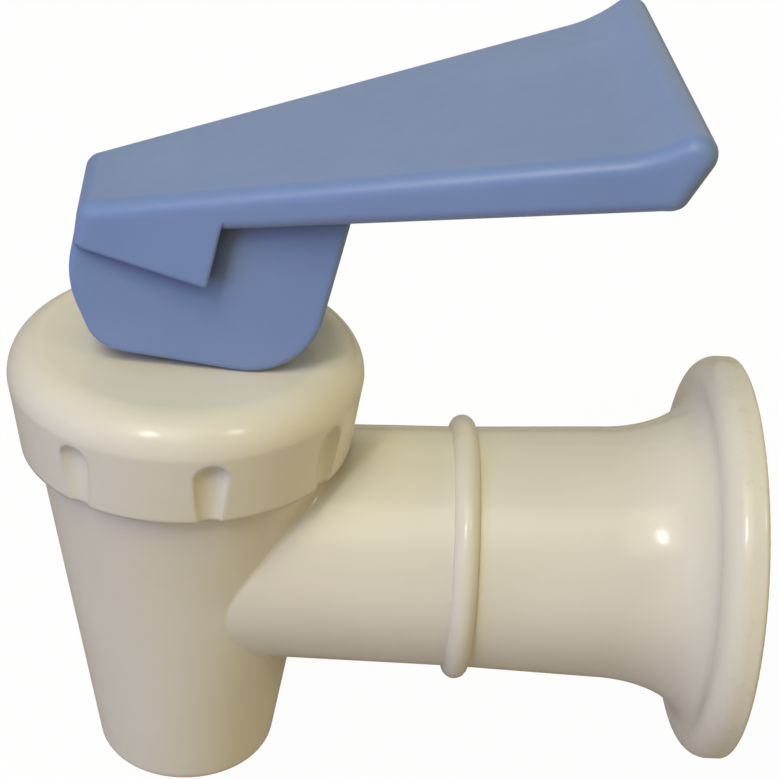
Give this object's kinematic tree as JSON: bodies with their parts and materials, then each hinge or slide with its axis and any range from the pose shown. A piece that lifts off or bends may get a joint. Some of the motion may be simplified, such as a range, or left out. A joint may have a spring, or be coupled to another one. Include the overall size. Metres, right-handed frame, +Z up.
{
  "type": "water cooler tap",
  "caption": "Push-lever water cooler tap with a tapered spout, a trumpet-flanged shank, a notched screw bonnet and a wide wedge-shaped handle that lifts a sprung stem off its seat.",
  "frame": {"origin": "centre of the flange's back face, on the mouth of the inlet thread", "axes": "+X along the shank into the panel, +Z up, spout axis vertical at X = -51.2 mm"},
  "size_m": [0.0671, 0.0382, 0.0721],
  "materials": {
    "ivory_plastic": "moulded, satin gloss",
    "blue_plastic": "moulded, satin",
    "white_plastic": "moulded",
    "steel": "drawn",
    "silicone": "translucent, matte",
    "washer_rubber": "matte"
  },
  "bodies": {
    "tap": {"tap_body": "ivory_plastic", "bonnet": "ivory_plastic", "inlet_washer": "washer_rubber", "spring": "steel", "seat_cup": "silicone"},
    "lift": {"spring_washer": "steel"},
    "turn": {"stem": "white_plastic"},
    "lever": {"handle": "blue_plastic", "cross_pin": "steel"}
  },
  "joints": [
    {"name": "stem_lift", "type": "slide", "parent": "tap", "child": "lift", "axis": [0, 0, 1], "range_m": [0, 0.00215], "stiffness_N_per_m": 500, "springref_m": -0.006, "deforming": ["spring", "seat_cup"]},
    {"name": "handle_swivel", "type": "hinge", "parent": "lift", "child": "turn", "pos_m": [-0.0512, 0, 0.02], "axis": [0, 0, 1], "continuous": true},
    {"name": "handle_tilt", "type": "hinge", "parent": "turn", "child": "lever", "pos_m": [-0.0512, 0, 0.02852], "axis": [-0.0419, 0.9991, 0], "range_deg": [0, 24]}
  ],
  "couplings": [
    {"joint": "handle_tilt", "follows": "stem_lift", "rad_per_m": 194.17}
  ]
}
